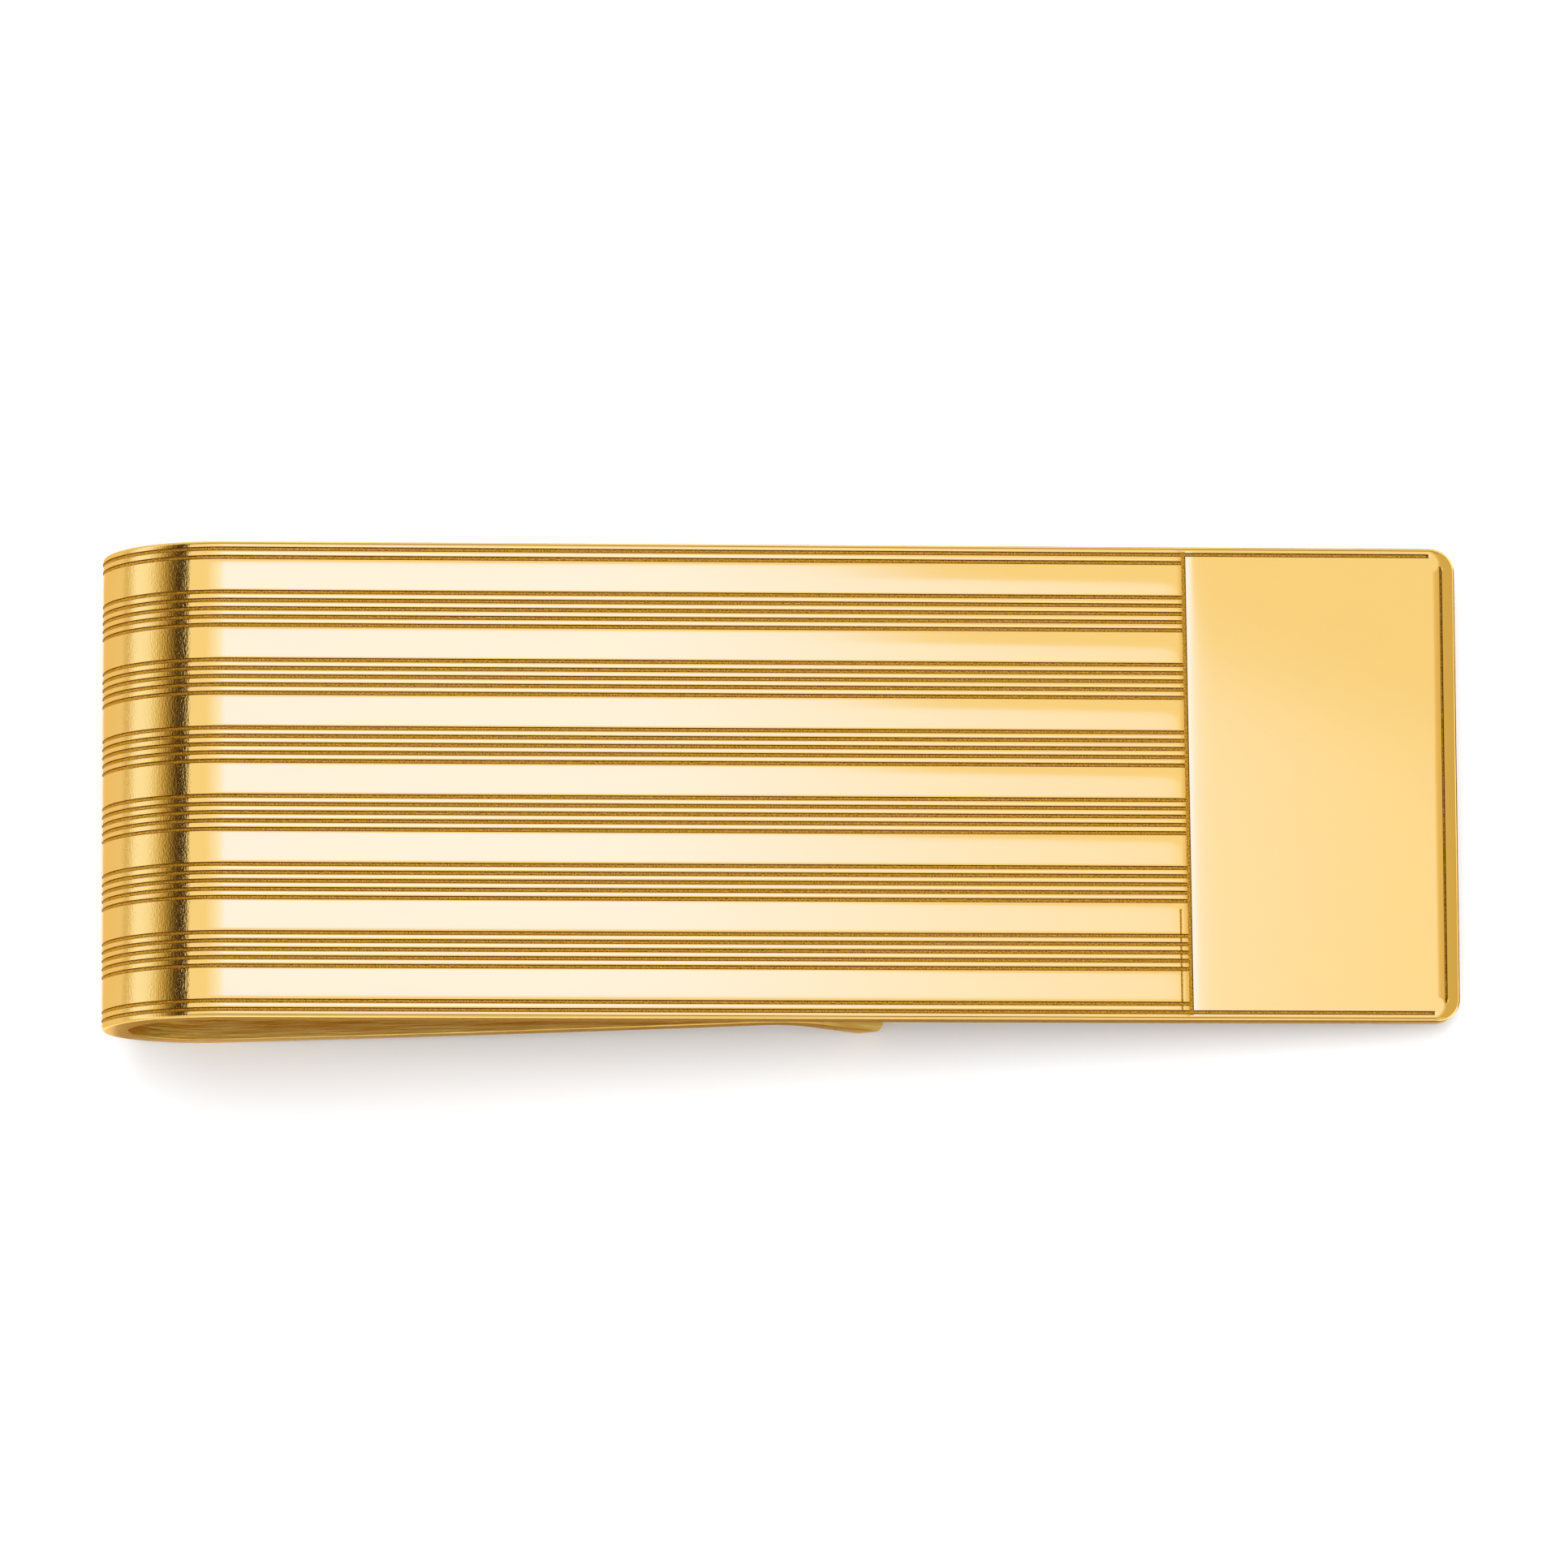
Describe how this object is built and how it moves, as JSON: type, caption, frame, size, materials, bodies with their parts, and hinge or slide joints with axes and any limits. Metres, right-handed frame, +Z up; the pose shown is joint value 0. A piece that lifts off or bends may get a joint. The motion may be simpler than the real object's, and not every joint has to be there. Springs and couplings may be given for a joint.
{
  "type": "money clip",
  "caption": "Bent-strip money clip with an engraved striped plate, a plain panel and a sprung leaf that grips folded banknotes.",
  "frame": {"origin": "on the table under the middle of the clip, lying on its loop and on the tip of its lip", "axes": "+X from the loop to the panel's free end, +Y across the strip, +Z up out of the table; the show plate faces up and leans about 8 degrees down towards +X"},
  "size_m": [0.0512, 0.018, 0.0083],
  "materials": {
    "polished_gold": "mirror-polished gold plate with cut lines",
    "brushed_gold": "gold plate brushed lengthwise"
  },
  "bodies": {
    "show_plate": {"striped_plate": "polished_gold", "engraving_panel": "polished_gold", "loop_upper": "polished_gold"},
    "loop_half": {"loop_lower": "polished_gold"},
    "leaf_base": {"leaf_root": "brushed_gold"},
    "leaf": {"leaf_shank": "brushed_gold", "grip_crest": "brushed_gold", "lead_in_lip": "brushed_gold"}
  },
  "joints": [
    {"name": "crown_flex", "type": "hinge", "parent": "show_plate", "child": "loop_half", "pos_m": [-0.02554, 0, 0.00428], "axis": [0, 1, 0], "range_deg": [0, 4.1], "stiffness_Nm_per_rad": 12},
    {"name": "leaf_base_flex", "type": "hinge", "parent": "loop_half", "child": "leaf_base", "pos_m": [-0.02144, 0, 0.00002], "axis": [0, 1, 0], "range_deg": [0, 2.5], "stiffness_Nm_per_rad": 17},
    {"name": "leaf_flex", "type": "hinge", "parent": "leaf_base", "child": "leaf", "pos_m": [-0.01514, 0, 0.00077], "axis": [0, 1, 0], "range_deg": [0, 1.7], "stiffness_Nm_per_rad": 10}
  ]
}
